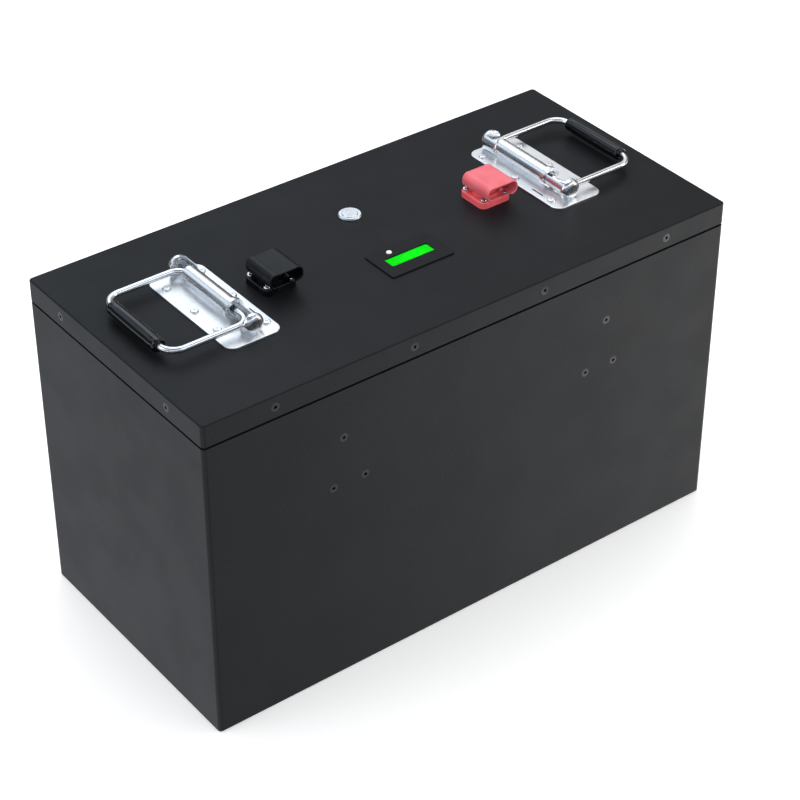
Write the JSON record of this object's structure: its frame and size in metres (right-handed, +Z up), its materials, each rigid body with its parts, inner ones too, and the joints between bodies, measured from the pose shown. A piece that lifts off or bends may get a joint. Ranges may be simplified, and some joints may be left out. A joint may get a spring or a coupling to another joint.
{
  "type": "battery pack",
  "caption": "Black sheet-steel battery box with a screwed lid, two sprung bail handles, hooded red and black terminals, a green-lit meter and a push switch",
  "frame": {"origin": "centre of the underside of the case", "axes": "+X along the case's length towards the positive terminal, +Y from the front wall to the back wall, +Z up"},
  "size_m": [0.48, 0.23, 0.3002],
  "materials": {
    "case_paint": "satin black powder coat",
    "black_screw": "black oxide",
    "zinc_steel": "zinc plated",
    "handle_chrome": "bright plated",
    "plate_chrome": "satin bright plated",
    "grip_rubber": "glossy black sleeve",
    "red_hood": "soft red PVC",
    "black_hood": "soft black PVC",
    "red_base": "moulded",
    "black_base": "moulded",
    "terminal_brass": "turned",
    "terminal_screw": "bright plated",
    "switch_steel": "turned stainless",
    "meter_plastic": "satin moulded",
    "meter_glass": "clear window",
    "lcd_green": "backlit display",
    "button_white": "moulded",
    "circuit_board": "solder mask",
    "cell_wrap": "wrapped can",
    "insulator": "glass-fibre board",
    "foam": "closed-cell foam",
    "gasket_rubber": "foam strip",
    "copper": "bare copper",
    "tinned_lug": "tinned",
    "cable_red": "silicone jacket",
    "cable_black": "silicone jacket",
    "heatsink": "extruded",
    "bms_plastic": "moulded"
  },
  "bodies": {
    "root": {"base_board": "insulator", "bms_case": "bms_plastic", "bms_heatsink": "heatsink", "bms_tray": "heatsink", "busbar_nuts": "zinc_steel", "busbars": "copper", "cable_cell_negative": "cable_black", "cable_lugs": "tinned_lug", "cable_output_negative": "cable_black", "cable_positive": "cable_red", "case_screws": "black_screw", "case_tub": "case_paint", "cell_1": "cell_wrap", "cell_2": "cell_wrap", "cell_3": "cell_wrap", "cell_4": "cell_wrap", "cell_5": "cell_wrap", "cell_6": "cell_wrap", "cell_7": "cell_wrap", "cell_8": "cell_wrap", "cell_separators": "insulator", "control_leads": "cable_black", "end_plates": "insulator", "foam_pads": "foam", "handle_rivets": "plate_chrome", "hold_down_bars": "zinc_steel", "left_handle_plate": "plate_chrome", "left_handle_spring": "zinc_steel", "left_hinge_barrel": "handle_chrome", "left_hinge_guards": "handle_chrome", "lid": "case_paint", "lid_gasket": "gasket_rubber", "meter_bezel": "meter_plastic", "meter_board": "circuit_board", "meter_lcd": "lcd_green", "meter_lens": "meter_glass", "negative_terminal_base": "black_base", "negative_terminal_post": "terminal_brass", "positive_terminal_base": "red_base", "positive_terminal_post": "terminal_brass", "right_handle_plate": "plate_chrome", "right_handle_spring": "zinc_steel", "right_hinge_barrel": "handle_chrome", "right_hinge_guards": "handle_chrome", "sense_strips": "circuit_board", "switch_body": "switch_steel", "switch_nut": "zinc_steel", "terminal_nuts": "zinc_steel", "terminal_screws": "terminal_screw", "terminal_seats": "bms_plastic", "weld_nuts": "zinc_steel"},
    "left_handle": {"left_bail": "handle_chrome", "left_grip": "grip_rubber"},
    "right_handle": {"right_bail": "handle_chrome", "right_grip": "grip_rubber"},
    "power_button": {"switch_button": "switch_steel"},
    "reset_button": {"meter_button": "button_white"},
    "positive_cover": {"positive_hood": "red_hood"},
    "negative_cover": {"negative_hood": "black_hood"}
  },
  "joints": [
    {"name": "left_handle_fold", "type": "hinge", "parent": "root", "child": "left_handle", "pos_m": [-0.1494, 0.0015, 0.2884], "axis": [0, 1, 0], "range_deg": [0, 90], "stiffness_Nm_per_rad": 0.25, "springref_deg": -34.38},
    {"name": "right_handle_fold", "type": "hinge", "parent": "root", "child": "right_handle", "pos_m": [0.1479, 0.0068, 0.2884], "axis": [0, -1, 0], "range_deg": [0, 90], "stiffness_Nm_per_rad": 0.25, "springref_deg": -34.38},
    {"name": "power_button_press", "type": "slide", "parent": "root", "child": "power_button", "axis": [0, 0, -1], "range_m": [0, 0.0018], "stiffness_N_per_m": 900, "springref_m": -0.002},
    {"name": "meter_button_press", "type": "slide", "parent": "root", "child": "reset_button", "axis": [0, 0, -1], "range_m": [0, 0.0006], "stiffness_N_per_m": 600, "springref_m": -0.0015},
    {"name": "positive_hood_slide", "type": "slide", "parent": "root", "child": "positive_cover", "axis": [0, 1, 0], "range_m": [0, 0.038]},
    {"name": "negative_hood_slide", "type": "slide", "parent": "root", "child": "negative_cover", "axis": [0, 1, 0], "range_m": [0, 0.038]}
  ]
}
